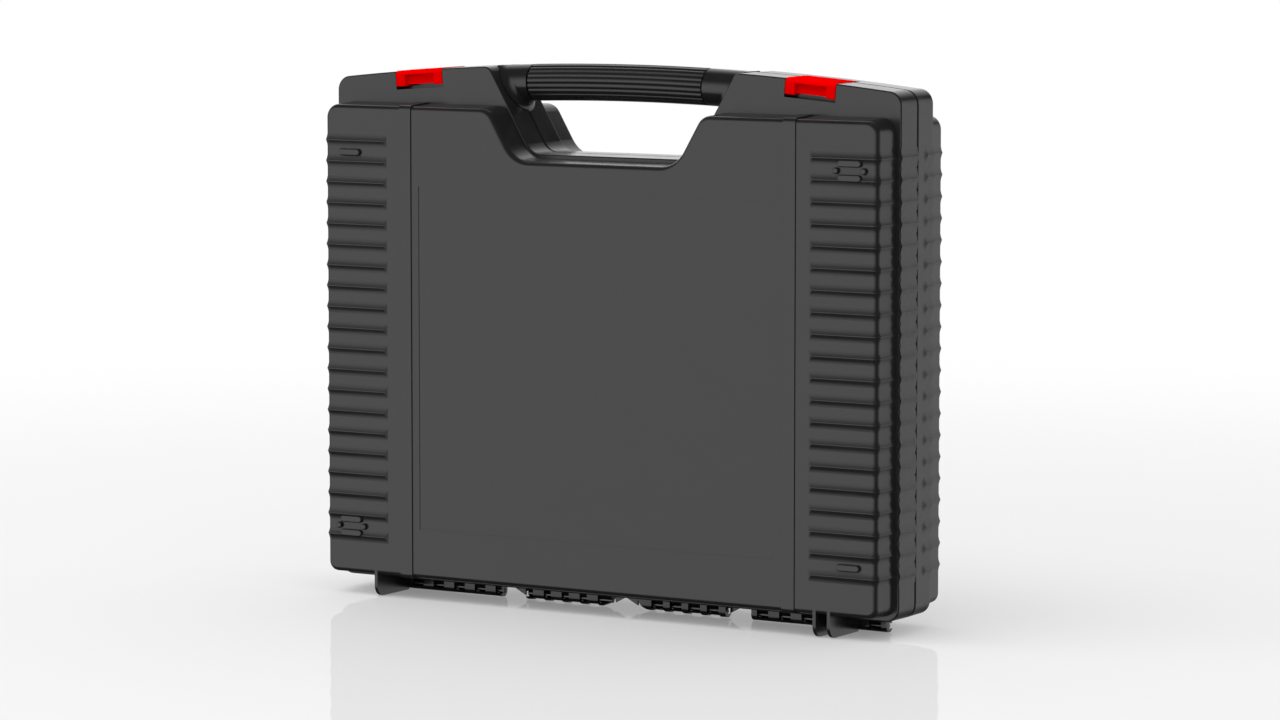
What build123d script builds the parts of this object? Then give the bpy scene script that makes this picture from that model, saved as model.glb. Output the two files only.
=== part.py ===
"""Hard transport case: two equal moulded half shells, hinged along the bottom edge, with two snap latches
in the top edge and a round carrying handle that is screwed to the rear shell.

Frame: millimetres, +X to the right along the front, -Y out of the front, +Z up. The origin is in the middle
of the footprint, on the surface that the fins stand on, and the parting plane of the two shells is Y = 0.

A half shell is drawn lying down: x runs across the case, y up the case and z out from the parting plane.
"""
import os
from math import asin, cos, degrees, radians, sin, sqrt, tan

from build123d import *

# Hinge along the bottom edge
BARREL_RADIUS = 3.75
BARREL_ABOVE_GROUND = 0.25
SLIM_RADIUS = 3.0
PIN_RADIUS = 1.5
PIN_FIT = 0.08
OUTER_GROUP_START = 89.9
OUTER_GROUP_SETBACK = 16.9
OUTER_GROUP_END_SEGMENT = 4.15
OUTER_GROUP_SEGMENTS = 13
INNER_GROUP_START = 9.5
INNER_GROUP_BOSS = 10.0
INNER_GROUP_END = 72.1
RING_COUNT = 4
RING_WIDTH = 5.0
KNUCKLE_GAP = 0.3
PIN_END_GAP = 0.6
WEB_SETBACK = 0.9
STOP_LENGTH = 12.8
STOP_THICKNESS = 1.6
STOP_SETBACK = 0.8
STOP_BELOW_PIN = 1.2
STOP_GAP = 0.6

# Rims: the wide ring of each shell beside the parting plane
RIM_HALF_WIDTH = 200.1
RIM_ABOVE_BARREL = 1.75
CROWN = 334.0
ARCH_RADIUS = 1758.5
RIM_DEPTH = 20.0
RIM_DRAFT = 0.6
RIM_BOTTOM_CORNER = 9.0
RIM_TOP_CORNER = 9.0
RIM_EDGE = 1.0
PARTING_CHAMFER = 1.0
PARTING_GAP = 0.1

# Trays: the inner box of each shell, from the rim to the face, and its steps in from the rim
TRAY_SIDE_STEP = 3.5
TRAY_BOTTOM_STEP = 3.35
TRAY_BELOW_CROWN = 26.25
TRAY_DEPTH = 20.0
TRAY_DRAFT = 3.43
TRAY_BOTTOM_CORNER = 7.0
TRAY_TOP_CORNER = 9.5
TRAY_EDGE = 3.0
WALL = 2.4

# Notch under the handle; its half width is measured NOTCH_LEVEL_RISE above its floor
NOTCH_ANGLE = 30.5
NOTCH_DEPTH = 55.0
NOTCH_LEVEL_RISE = 5.5
RIM_NOTCH_HALF = 59.6
RIM_NOTCH_CORNER = 12.0
RIM_NOTCH_LIP = 6.0
TRAY_NOTCH_SIDE_STEP = 1.7
TRAY_NOTCH_FLOOR_STEP = 2.7
TRAY_NOTCH_CORNER = 18.0
TRAY_NOTCH_LIP = 11.0

# Ribs round the side edges
RIB_COUNT = 20
RIB_PITCH = 13.0
RIB_BELOW_TRAY_TOP = 23.25
RIB_REACH = 46.6
RIB_HEIGHT = 1.0
RIB_CREST = 0.5
RIB_FOOT = 5.6
RIB_SINK = 0.1
RIB_ROOT = 0.8
RIB_HOLLOW = 0.18
RIB_SHOULDER = 0.87
RIB_END_SLOPE = 25.0
SMOOTH_STRIP = 11.5

# Bands, label field and stacking marks on the face
BAND_SETBACK = 60.55
BAND_WIDTH = 8.5
BAND_HEIGHT = 0.7
LABEL_SETBACK = 9.65
LABEL_ABOVE_TRAY_BOTTOM = 31.65
LABEL_BELOW_NOTCH = 18.8
LABEL_DEPTH = 0.35
MARK_SETBACK = 19.55
MARK_LENGTH = 15.8
MARK_WIDTH = 4.3
MARK_HEIGHT = 2.0
MARK_DOT = 4.0
MARK_DOT_SPREAD = 9.25
MARK_EDGE = 0.8
MARK_INSET = 30.5
MARK_SPREAD = 4.3

# Fins that the case stands on: a pair on one side, and on the other a single one that passes between such a pair
FIN_THICKNESS = 2.1
FIN_SETBACK = 37.9
FIN_SPREAD = 4.85
FIN_SHIFT = 0.75
FIN_CORNER = 7.0
FIN_INNER_END = 4.7

# Latches and their pockets
LATCH_CENTRE = 139.2
LATCH_WIDTH = 33.8
LATCH_PIVOT_DEPTH = 5.2
LATCH_BARREL = 4.3
LATCH_PROUD = 0.3
LATCH_BRIDGE = 4.4
LATCH_DROP = 9.9
LATCH_FLAP = 7.2
LATCH_TOP_EDGE = 2.6
LATCH_EDGE = 0.6
LATCH_PIN_RADIUS = 1.5
LATCH_PIN_FIT = 0.1
LATCH_PIN_SEAT = 1.6
SCOOP_WIDTH = 21.5
SCOOP_LIP = 2.8
SCOOP_TOP_DEPTH = 4.6
SCOOP_BOTTOM_DEPTH = 2.4
SCOOP_RAISE = 1.0
HOOK_REACH = 1.3
HOOK_HEIGHT = 1.9
HOOK_RISE = 1.5
POCKET_GAP = 0.5
POCKET_BELOW = 1.8
POCKET_WALL = 2.2

# Sealing tongue of the rear shell
TONGUE_THICKNESS = 1.4
TONGUE_LENGTH = 2.5
TONGUE_ROOT = 3.0
TONGUE_GAP = 0.3

# Handle
HANDLE_BELOW_ARCH = 11.2
HANDLE_RADIUS = 11.35
GRIP_LEFT_SEAM = -65.7
GRIP_RIGHT_SEAM = 58.8
SEAM_WIDTH = 0.8
GRIP_RIDGES = 18
RIDGE_DEPTH = 0.55
BAR_RADIUS = 8.0
BAR_FIT = 0.1
BAR_INSERT = 6.0
BAR_END_GAP = 0.3
BELL_RADIUS = 5.2
HANDLE_BELOW_CROWN = 0.0
HANDLE_LID_GAP = 0.4

# Screws that hold the handle ends
SCREW_RADIUS = 1.5
SCREW_HEAD_RADIUS = 3.0
SCREW_HEAD_HEIGHT = 2.2
SCREW_BITE = 5.0
SCREW_PLACES = (-6.0, 3.0)
SCREW_SETBACK = 6.0
SCREW_FIT = 0.1
SCREW_DRIVE_RADIUS = 1.4
SCREW_DRIVE_DEPTH = 1.3

# Values that follow from the sizes above
HINGE_HEIGHT = BARREL_RADIUS + BARREL_ABOVE_GROUND
RIM_BOTTOM = HINGE_HEIGHT + BARREL_RADIUS + RIM_ABOVE_BARREL
STOP_TIP = HINGE_HEIGHT - STOP_BELOW_PIN
OUTER_GROUP_END = RIM_HALF_WIDTH - OUTER_GROUP_SETBACK
TRAY_HALF_WIDTH = RIM_HALF_WIDTH - TRAY_SIDE_STEP
TRAY_BOTTOM = RIM_BOTTOM + TRAY_BOTTOM_STEP
TRAY_TOP = CROWN - TRAY_BELOW_CROWN
FACE = RIM_DEPTH + TRAY_DEPTH
NOTCH_SLOPE = tan(radians(NOTCH_ANGLE))
RIM_NOTCH_FLOOR = CROWN - NOTCH_DEPTH
NOTCH_LEVEL = RIM_NOTCH_FLOOR + NOTCH_LEVEL_RISE
TRAY_NOTCH_HALF = RIM_NOTCH_HALF + TRAY_NOTCH_SIDE_STEP
TRAY_NOTCH_FLOOR = RIM_NOTCH_FLOOR - TRAY_NOTCH_FLOOR_STEP
RIB_TOP = TRAY_TOP - RIB_BELOW_TRAY_TOP
RIB_INNER_END = TRAY_HALF_WIDTH - RIB_REACH
BAND_CENTRE = TRAY_HALF_WIDTH - BAND_SETBACK
LABEL_HALF_WIDTH = BAND_CENTRE - LABEL_SETBACK
LABEL_BOTTOM = TRAY_BOTTOM + LABEL_ABOVE_TRAY_BOTTOM
LABEL_TOP = TRAY_NOTCH_FLOOR - LABEL_BELOW_NOTCH
MARK_CENTRE = TRAY_HALF_WIDTH - MARK_SETBACK
UPPER_MARK = TRAY_TOP - MARK_INSET
LOWER_MARK = TRAY_BOTTOM + MARK_INSET
FIN_CENTRE = TRAY_HALF_WIDTH - FIN_SETBACK
FIN_SINGLE = FIN_CENTRE + FIN_SHIFT
FIN_PAIR = (FIN_CENTRE - FIN_SPREAD, FIN_CENTRE + FIN_SPREAD)
HANDLE_CENTRE = CROWN - HANDLE_BELOW_ARCH
EMBED = 0.5
GROUPS = (-1, 1)


def arch_height(x, crown=CROWN):
    """Height of the arched top edge at x."""
    return crown - ARCH_RADIUS + sqrt(ARCH_RADIUS ** 2 - x ** 2)


def at_corners(sketch, radius, chosen):
    """Rounds the corners of a sketch for which chosen(x, y) holds."""
    corners = [v for v in sketch.vertices() if chosen(v.X, v.Y)]
    return fillet(corners, radius) if radius > 0 else sketch


def notched(region, half, floor, corner, lip):
    """Cuts the notch under the handle into a flat region and rounds its corners."""
    roof = CROWN + RIM_DEPTH
    low = half + (floor - NOTCH_LEVEL) * NOTCH_SLOPE
    high = half + (roof - NOTCH_LEVEL) * NOTCH_SLOPE
    notch = make_face(Polyline((-low, floor), (low, floor), (high, roof), (-high, roof), close=True).edges())
    cut = Sketch() + (region - notch)
    cut = at_corners(cut, corner, lambda x, y: abs(x) < low + EMBED and abs(y - floor) < EMBED)
    return at_corners(cut, lip, lambda x, y: abs(x) < high and y > floor + corner)


def rim_outline():
    """Outline of a rim in the parting plane: an arched top with the notch in it."""
    side = arch_height(RIM_HALF_WIDTH)
    frame = Polyline((-RIM_HALF_WIDTH, side), (-RIM_HALF_WIDTH, RIM_BOTTOM), (RIM_HALF_WIDTH, RIM_BOTTOM),
                     (RIM_HALF_WIDTH, side))
    arch = ThreePointArc((RIM_HALF_WIDTH, side), (0, CROWN), (-RIM_HALF_WIDTH, side))
    region = Sketch() + make_face([*frame.edges(), arch])
    middle = (RIM_BOTTOM + CROWN) / 2
    region = at_corners(region, RIM_BOTTOM_CORNER, lambda x, y: y < middle)
    region = at_corners(region, RIM_TOP_CORNER, lambda x, y: y > middle and abs(x) > RIM_HALF_WIDTH - EMBED)
    return notched(region, RIM_NOTCH_HALF, RIM_NOTCH_FLOOR, RIM_NOTCH_CORNER, RIM_NOTCH_LIP)


def tray_outline():
    """Outline of a tray where it meets its rim."""
    region = Sketch() + Pos(0, (TRAY_BOTTOM + TRAY_TOP) / 2) * Rectangle(2 * TRAY_HALF_WIDTH, TRAY_TOP - TRAY_BOTTOM)
    middle = (TRAY_BOTTOM + TRAY_TOP) / 2
    region = at_corners(region, TRAY_BOTTOM_CORNER, lambda x, y: y < middle)
    region = at_corners(region, TRAY_TOP_CORNER, lambda x, y: y > middle)
    return notched(region, TRAY_NOTCH_HALF, TRAY_NOTCH_FLOOR, TRAY_NOTCH_CORNER, TRAY_NOTCH_LIP)


def raised(outline, grow):
    """A flat outline made larger by grow all round, or smaller where grow is negative."""
    return offset(outline, grow) if grow else outline


def rim_body(grow=0.0):
    """Solid inside a rim's outer surface, which stays a little clear of the parting plane."""
    solid = extrude(raised(rim_outline(), grow), amount=RIM_DEPTH, taper=RIM_DRAFT)
    return solid - span((-CROWN, CROWN), (0, 2 * CROWN), (-EMBED, PARTING_GAP))


def tray_body(grow=0.0):
    """Solid inside a tray's outer surface, grown on every side by grow."""
    base = Pos(0, 0, RIM_DEPTH) * raised(tray_outline(), grow)
    solid = extrude(base, amount=TRAY_DEPTH + grow, taper=TRAY_DRAFT)
    return fillet(solid.faces().sort_by(Axis.Z)[-1].edges(), TRAY_EDGE)


def rounded_rim():
    """Rim body with its outer edge rounded and a small chamfer along the parting line."""
    rim = rim_body()
    rim = fillet(rim.faces().sort_by(Axis.Z)[-1].edges(), RIM_EDGE)
    return chamfer(rim.faces().sort_by(Axis.Z)[0].edges(), PARTING_CHAMFER)


def cavity_outline():
    """Outline of the hollow inside a rim, one wall inside the rim's outer edge."""
    return offset(rim_outline(), -(WALL + RIM_DEPTH * tan(radians(RIM_DRAFT))))


def cavity():
    """Hollow of a half shell: the rim part and the tray part."""
    rim_part = extrude(cavity_outline(), amount=RIM_DEPTH - WALL)
    inset = WALL + TRAY_DEPTH * tan(radians(TRAY_DRAFT))
    tray_part = Pos(0, 0, EMBED) * extrude(offset(tray_outline(), -inset), amount=FACE - WALL - EMBED)
    return rim_part + tray_part


def rib_profile(half=False):
    """Cross-section of a rib: x out from the wall, y across the rib, with hollow flanks and a round crest."""
    def flank(side):
        return ThreePointArc((-RIB_SINK, side * RIB_FOOT), (RIB_HEIGHT * RIB_HOLLOW, side * RIB_FOOT / 2),
                             (RIB_HEIGHT * RIB_SHOULDER, side * RIB_CREST))

    shoulder = (RIB_HEIGHT * RIB_SHOULDER, RIB_CREST)
    if half:
        lean = RIB_HEIGHT * (1 - RIB_SHOULDER)
        radius = (RIB_CREST ** 2 + lean ** 2) / (2 * lean)
        turn = asin(RIB_CREST / radius) / 2
        middle = (RIB_HEIGHT - radius * (1 - cos(turn)), radius * sin(turn))
        crest = ThreePointArc(shoulder, middle, (RIB_HEIGHT, 0))
        root = Polyline((RIB_HEIGHT, 0), (-RIB_ROOT, 0), (-RIB_ROOT, RIB_FOOT), (-RIB_SINK, RIB_FOOT))
        return make_face([flank(1), crest, *root.edges()])
    crest = ThreePointArc(shoulder, (RIB_HEIGHT, 0), (shoulder[0], -shoulder[1]))
    root = Polyline((-RIB_SINK, RIB_FOOT), (-RIB_ROOT, RIB_FOOT), (-RIB_ROOT, -RIB_FOOT), (-RIB_SINK, -RIB_FOOT))
    return make_face([flank(1), flank(-1), crest, *root.edges()])


def rib_run(start, outward, along, length):
    """Straight stretch of a rib on a wall that faces outward."""
    plane = Plane(origin=start, x_dir=outward, z_dir=along)
    return extrude(plane * rib_profile(), amount=length, dir=along)


def rib_end(place, outward, along):
    """Round end of a rib: half its profile turned about the wall's outward direction."""
    plane = Plane(origin=place, x_dir=outward, z_dir=along)
    return revolve(plane * rib_profile(half=True), axis=Axis(place, outward), revolution_arc=360)


def rib_ramp():
    """Room beyond the short steep end of a rib on the face."""
    rise = 2 * RIB_HEIGHT
    run = rise / tan(radians(RIB_END_SLOPE))
    outline = Polyline((RIB_INNER_END - run, FACE), (RIB_INNER_END, FACE), (RIB_INNER_END + run, FACE + rise),
                       (RIB_INNER_END - run, FACE + rise), close=True)
    plane = Plane(origin=(0, 0, 0), x_dir=(1, 0, 0), z_dir=(0, -1, 0))
    return extrude(plane * make_face(outline.edges()), amount=2 * RIB_FOOT, both=True)


def rib(strip, rounded):
    """One rib round the right side edge; its rim part ends strip away from the parting plane, rounded or flat."""
    lean = radians(TRAY_DRAFT)
    side_at_edge = TRAY_HALF_WIDTH - (TRAY_DEPTH - TRAY_EDGE) * tan(lean)
    centre = Vector(side_at_edge - TRAY_EDGE / cos(lean), 0, FACE - TRAY_EDGE)
    bend = centre + Vector(0, 0, TRAY_EDGE)
    side_normal = Vector(cos(lean), 0, sin(lean))
    side_along = Vector(sin(lean), 0, -cos(lean))
    side_start = centre + side_normal * TRAY_EDGE
    face_plane = Plane(origin=bend, x_dir=(0, 0, 1), z_dir=(1, 0, 0))
    turned = revolve(face_plane * rib_profile(), axis=Axis(centre, (0, 1, 0)), revolution_arc=90 - TRAY_DRAFT)
    inner_end = Vector(RIB_INNER_END, 0, FACE)
    tilt = radians(RIM_DRAFT)
    rim_normal = Vector(cos(tilt), 0, sin(tilt))
    rim_along = Vector(sin(tilt), 0, -cos(tilt))
    rim_start = Vector(RIM_HALF_WIDTH - RIM_DEPTH * tan(tilt), 0, RIM_DEPTH)
    rim_run = (RIM_DEPTH - strip) / cos(tilt)
    shape = turned + (rib_run(inner_end, (0, 0, 1), (1, 0, 0), bend.X - RIB_INNER_END) - rib_ramp())
    shape += rib_run(side_start, side_normal, side_along, (side_start.Z - RIM_DEPTH + EMBED) / cos(lean))
    shape += rib_run(rim_start, rim_normal, rim_along, rim_run)
    return shape + rib_end(rim_start + rim_along * rim_run, rim_normal, rim_along) if rounded else shape


def ribs():
    """All ribs of a half shell: the left rim keeps a smooth strip beside the parting plane."""
    right = rib(PARTING_GAP, rounded=False)
    left = rib(SMOOTH_STRIP, rounded=True).mirror(Plane.YZ)
    places = [Pos(0, RIB_TOP - RIB_PITCH * number, 0) for number in range(RIB_COUNT)]
    return [place * side for place in places for side in (left, right)]


def span(x_range, y_range, z_range):
    """Box between two limits on each axis."""
    centre = [(low + high) / 2 for low, high in (x_range, y_range, z_range)]
    size = [high - low for low, high in (x_range, y_range, z_range)]
    return Pos(*centre) * Box(*size)


def rod(radius, start, end, height=0.0, depth=0.0):
    """Round rod along X between two ends."""
    return Pos((start + end) / 2, height, depth) * Rot(0, 90, 0) * Cylinder(radius, end - start)


def bands():
    """Two flat bands that run over the face, the top and the bottom of a tray."""
    grown = tray_body(BAND_HEIGHT)
    half = BAND_WIDTH / 2
    return [grown & span((side * BAND_CENTRE - half, side * BAND_CENTRE + half), (0, CROWN),
                         (RIM_DEPTH - EMBED, FACE + 1)) for side in GROUPS]


def mark(shape, x, y):
    """Raised stacking mark of a flat shape on the face."""
    solid = extrude(Pos(x, y, FACE - EMBED) * shape, amount=MARK_HEIGHT + EMBED)
    return fillet(solid.faces().sort_by(Axis.Z)[-1].edges(), MARK_EDGE)


def stacking_marks():
    """One pill in two corners, and two pills with two dots that take such a pill between them in the others."""
    pill = SlotOverall(MARK_LENGTH, MARK_WIDTH)
    dot = Circle(MARK_DOT / 2)
    marks = []
    for side, single, double in ((-1, UPPER_MARK, LOWER_MARK), (1, LOWER_MARK, UPPER_MARK)):
        x = side * MARK_CENTRE
        marks.append(mark(pill, x, single))
        marks += [mark(pill, x, double + shift) for shift in (-MARK_SPREAD, MARK_SPREAD)]
        marks += [mark(dot, x + shift, double) for shift in (-MARK_DOT_SPREAD, MARK_DOT_SPREAD)]
    return marks


def fin(x):
    """Flat fin across the depth of a half shell, with a round lower front corner."""
    rim_top = RIM_BOTTOM + WALL
    tray_top = TRAY_BOTTOM + WALL
    inner_face = FACE - WALL + EMBED / 2
    points = [(FACE, 0), (FACE, tray_top + TRAY_EDGE), (inner_face, tray_top + TRAY_EDGE), (inner_face, tray_top),
              (RIM_DEPTH - EMBED, tray_top), (RIM_DEPTH - EMBED, rim_top), (FIN_INNER_END, rim_top),
              (FIN_INNER_END, 0)]
    plate = Sketch() + make_face(Polyline(*points, close=True).edges())
    plate = at_corners(plate, FIN_CORNER, lambda z, y: z > FACE - EMBED and y < EMBED)
    plate = Plane(origin=(x - FIN_THICKNESS / 2, 0, 0), x_dir=(0, 0, 1), z_dir=(-1, 0, 0)) * plate
    return extrude(plate, amount=FIN_THICKNESS, dir=(1, 0, 0))


def outer_segments(side):
    """Limits of this shell's knuckles in the outer group on one side of the case."""
    inner_pitch = OUTER_GROUP_END - OUTER_GROUP_START - 2 * OUTER_GROUP_END_SEGMENT
    inner_pitch /= OUTER_GROUP_SEGMENTS - 2
    first = OUTER_GROUP_START + OUTER_GROUP_END_SEGMENT
    edges = [OUTER_GROUP_START] + [first + inner_pitch * number for number in range(OUTER_GROUP_SEGMENTS - 1)]
    edges.append(OUTER_GROUP_END)
    own = range(0 if side > 0 else 1, OUTER_GROUP_SEGMENTS, 2)
    return [(edges[number], edges[number + 1]) for number in own]


def inner_rings():
    """Limits of the rings in an inner group."""
    start = INNER_GROUP_START + INNER_GROUP_BOSS
    pitch = (INNER_GROUP_END - start) / RING_COUNT
    return [(start + pitch * number - RING_WIDTH, start + pitch * number) for number in range(1, RING_COUNT + 1)]


def inner_bars():
    """Limits of the slimmer knuckles between the rings of an inner group."""
    starts = [INNER_GROUP_START + INNER_GROUP_BOSS] + [end for _, end in inner_rings()[:-1]]
    return [(start, ring[0]) for start, ring in zip(starts, inner_rings())]


def knuckle(side, limits, radius):
    """Hook-shaped knuckle: a barrel under the rim with a web up to it, open towards the other shell."""
    start, end = sorted((side * limits[0], side * limits[1]))
    start += KNUCKLE_GAP / 2
    end -= KNUCKLE_GAP / 2
    web = span((start, end), (HINGE_HEIGHT, RIM_BOTTOM + WALL), (WEB_SETBACK, radius))
    bore = PIN_RADIUS + PIN_FIT
    slot = span((start - 1, end + 1), (HINGE_HEIGHT - bore, HINGE_HEIGHT + bore), (-radius - 1, 0))
    return rod(radius, start, end, HINGE_HEIGHT) + web - slot


def boss():
    """First knuckle of the right inner group, with a quarter-round end towards the middle of the case."""
    limits = (INNER_GROUP_START, INNER_GROUP_START + INNER_GROUP_BOSS)
    low = HINGE_HEIGHT - BARREL_RADIUS
    radius = RIM_BOTTOM - low
    bend = limits[0] + radius
    arc = RadiusArc((limits[0], RIM_BOTTOM), (bend, low), -radius)
    rest = Polyline((bend, low), (limits[1], low), (limits[1], RIM_BOTTOM + WALL),
                    (limits[0], RIM_BOTTOM + WALL), (limits[0], RIM_BOTTOM))
    side_view = extrude(make_face([arc, *rest.edges()]), amount=BARREL_RADIUS, both=True)
    return knuckle(1, limits, BARREL_RADIUS) & side_view


def pin_stop(tip):
    """Ramp beside an inner group whose upright end keeps the pin in."""
    outline = Polyline((tip - STOP_LENGTH, RIM_BOTTOM), (tip, STOP_TIP), (tip, RIM_BOTTOM + WALL),
                       (tip - STOP_LENGTH, RIM_BOTTOM + WALL), close=True)
    return extrude(Pos(0, 0, STOP_SETBACK) * make_face(outline.edges()), amount=STOP_THICKNESS)


def hinge():
    """All knuckles and pin stops of a half shell, without the bore for the pins."""
    parts = [knuckle(side, limits, BARREL_RADIUS) for side in GROUPS for limits in outer_segments(side)]
    parts += [knuckle(1, limits, BARREL_RADIUS) for limits in inner_rings()]
    parts += [knuckle(-1, limits, SLIM_RADIUS) for limits in inner_bars()]
    parts.append(boss())
    parts += [pin_stop(INNER_GROUP_START - STOP_GAP), pin_stop(-INNER_GROUP_END - STOP_GAP)]
    return parts


def pin_spans():
    """Limits of the four hinge pins from left to right, with their names."""
    outer = (OUTER_GROUP_START + PIN_END_GAP, OUTER_GROUP_END - PIN_END_GAP)
    inner = (INNER_GROUP_START + PIN_END_GAP, INNER_GROUP_END - PIN_END_GAP)
    return {"outer_left": (-outer[1], -outer[0]), "inner_left": (-inner[1], -inner[0]),
            "inner_right": inner, "outer_right": outer}


def upright(shape, turned=False):
    """Stands a shape that was drawn lying down in the front shell's place, or turned round in the rear shell's."""
    return Rot(0, 0, 180 if turned else 0) * Rot(90, 0, 0) * shape


def moulding():
    """Outer body of a half shell with everything that stands on it, not hollow yet."""
    body = rounded_rim() + tray_body()
    body += bands()
    body += ribs()
    body += stacking_marks()
    body += [fin(-FIN_SINGLE), *(fin(x) for x in FIN_PAIR)]
    body += hinge()
    body -= [rod(PIN_RADIUS + PIN_FIT, start - 1, end + 1, HINGE_HEIGHT) for start, end in pin_spans().values()]
    label = span((-LABEL_HALF_WIDTH, LABEL_HALF_WIDTH), (LABEL_BOTTOM, LABEL_TOP), (FACE - LABEL_DEPTH, FACE + 1))
    return body - label


def latch_place(side):
    """Place of a latch's pivot: x along the arched top edge, z square to it."""
    tilt = asin(LATCH_CENTRE / ARCH_RADIUS)
    drop = LATCH_BARREL - LATCH_PROUD + LATCH_PIVOT_DEPTH * tan(radians(RIM_DRAFT))
    x = LATCH_CENTRE - drop * sin(tilt)
    z = arch_height(LATCH_CENTRE) - drop * cos(tilt)
    return Location((side * x, LATCH_PIVOT_DEPTH, z), (0, side * degrees(tilt), 0))


def latch_points():
    """Named corners of the latch's side view, y and z from its pivot."""
    slope = tan(radians(RIM_DRAFT))
    ridge = LATCH_BARREL + LATCH_PIVOT_DEPTH * slope
    front = -(LATCH_PIVOT_DEPTH + RIM_DEPTH + LATCH_PROUD / 2)
    top = ridge - RIM_DEPTH * slope
    return {"ridge": (-LATCH_PIVOT_DEPTH, ridge), "top": (front, top), "bottom": (front, top - LATCH_DROP),
            "back": (front + LATCH_FLAP, top - LATCH_DROP), "under": LATCH_BARREL - LATCH_BRIDGE}


def across(outline, width):
    """Solid of a side view that is drawn in y and z, centred on x = 0."""
    plane = Plane(origin=(0, 0, 0), x_dir=(0, 1, 0), z_dir=(1, 0, 0))
    return extrude(plane * outline, amount=width / 2, both=True)


def side_view(*points):
    """Flat face through points in y and z."""
    return make_face(Polyline(*points, close=True).edges())


def latch():
    """Latch about its pivot: barrel, bridge over both rims, flap with a finger scoop, and the hook."""
    at = latch_points()
    front, top = at["top"]
    bottom = at["bottom"][1]
    back = at["back"][0]
    outline = Sketch() + side_view((0, LATCH_BARREL), at["ridge"], at["top"], at["bottom"], at["back"],
                                   (back, at["under"]), (0, at["under"]))
    outline = at_corners(outline, LATCH_TOP_EDGE, lambda y, z: y < front + EMBED and z > top - EMBED)
    outline = at_corners(outline, LATCH_EDGE, lambda y, z: y < front + EMBED and z < bottom + EMBED)
    body = across(outline + Circle(LATCH_BARREL), LATCH_WIDTH)
    hook = side_view((back - EMBED, bottom + HOOK_RISE / 2), (back, bottom + HOOK_RISE / 2),
                     (back + HOOK_REACH, bottom + HOOK_RISE), (back + HOOK_REACH, bottom + HOOK_RISE + HOOK_HEIGHT),
                     (back - EMBED, bottom + HOOK_RISE + HOOK_HEIGHT))
    scoop_top = top - SCOOP_LIP
    scoop = side_view((front - 1, scoop_top), (front + SCOOP_TOP_DEPTH, scoop_top),
                      (front + SCOOP_BOTTOM_DEPTH, bottom - 1), (front - 1, bottom - 1))
    raised_edge = side_view((front - 1, bottom + SCOOP_RAISE), (back + HOOK_REACH + 1, bottom + SCOOP_RAISE),
                            (back + HOOK_REACH + 1, bottom - 1), (front - 1, bottom - 1))
    body = body + across(hook, LATCH_WIDTH - 2 * LATCH_EDGE) - across(scoop, SCOOP_WIDTH)
    body -= across(raised_edge, SCOOP_WIDTH)
    return body - rod(LATCH_PIN_RADIUS + LATCH_PIN_FIT, -LATCH_WIDTH, LATCH_WIDTH)


def pocket_view():
    """Side view of the room that a latch lies in, with the undercut for its hook."""
    at = latch_points()
    front = at["top"][0] - RIM_DEPTH
    bottom = at["bottom"][1]
    inner = at["back"][0] + POCKET_GAP
    hook_tip = at["back"][0] + HOOK_REACH + POCKET_GAP
    roof = 2 * LATCH_BARREL
    floor = at["under"] - POCKET_GAP
    rear = LATCH_BARREL + POCKET_GAP
    flap = side_view((front, bottom - POCKET_BELOW), (inner, bottom - POCKET_BELOW), (inner, roof), (front, roof))
    undercut = side_view((inner - EMBED, bottom - POCKET_BELOW), (hook_tip, bottom - POCKET_BELOW),
                         (hook_tip, bottom + HOOK_RISE + HOOK_HEIGHT + POCKET_GAP / 2),
                         (inner - EMBED, bottom + HOOK_RISE + HOOK_HEIGHT + POCKET_GAP / 2))
    bridge = side_view((inner - EMBED, floor), (0, floor), (0, roof), (inner - EMBED, roof))
    barrel = Circle(rear) + side_view((-rear, 0), (rear, 0), (rear, roof), (-rear, roof))
    return Sketch() + [flap, undercut, bridge, barrel]


def pocket(side):
    """Room for a latch in both rims."""
    return latch_place(side) * across(pocket_view(), LATCH_WIDTH + 2 * POCKET_GAP)


def pocket_housing(side):
    """Solid round a pocket, which leaves a wall under and beside it."""
    width = LATCH_WIDTH + 2 * (POCKET_GAP + POCKET_WALL)
    return latch_place(side) * across(offset(pocket_view(), POCKET_WALL), width)


def latch_pin(side, extra=0.0):
    """Pin of a latch, seated in the side walls of its pocket."""
    half = LATCH_WIDTH / 2 + POCKET_GAP + LATCH_PIN_SEAT + extra
    return latch_place(side) * rod(LATCH_PIN_RADIUS + extra, -half, half)


def half_shell(turned):
    """Hollow half shell in its place, with its halves of the latch pockets."""
    room = upright(cavity(), turned)
    body = upright(moulding(), turned)
    for side in GROUPS:
        room -= pocket_housing(side)
    body -= room
    for side in GROUPS:
        body -= pocket(side)
    return body


def tongue():
    """Ring on the rear shell that reaches a little way into the lid, open where the latches are."""
    outline = cavity_outline()
    outer = offset(outline, -TONGUE_GAP)
    inner = offset(outline, -(TONGUE_GAP + TONGUE_THICKNESS))
    ring = Pos(0, 0, -TONGUE_LENGTH) * extrude(outer - inner, amount=TONGUE_LENGTH + EMBED)
    root = extrude(offset(outline, EMBED) - inner, amount=TONGUE_ROOT)
    ring = upright(ring + root, turned=True)
    half = LATCH_WIDTH / 2 + POCKET_GAP + POCKET_WALL + TONGUE_GAP
    for side in GROUPS:
        ring -= latch_place(side) * span((-half, half), (-RIM_DEPTH, RIM_DEPTH), (-2 * RIM_DEPTH, RIM_DEPTH))
    return ring


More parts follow.
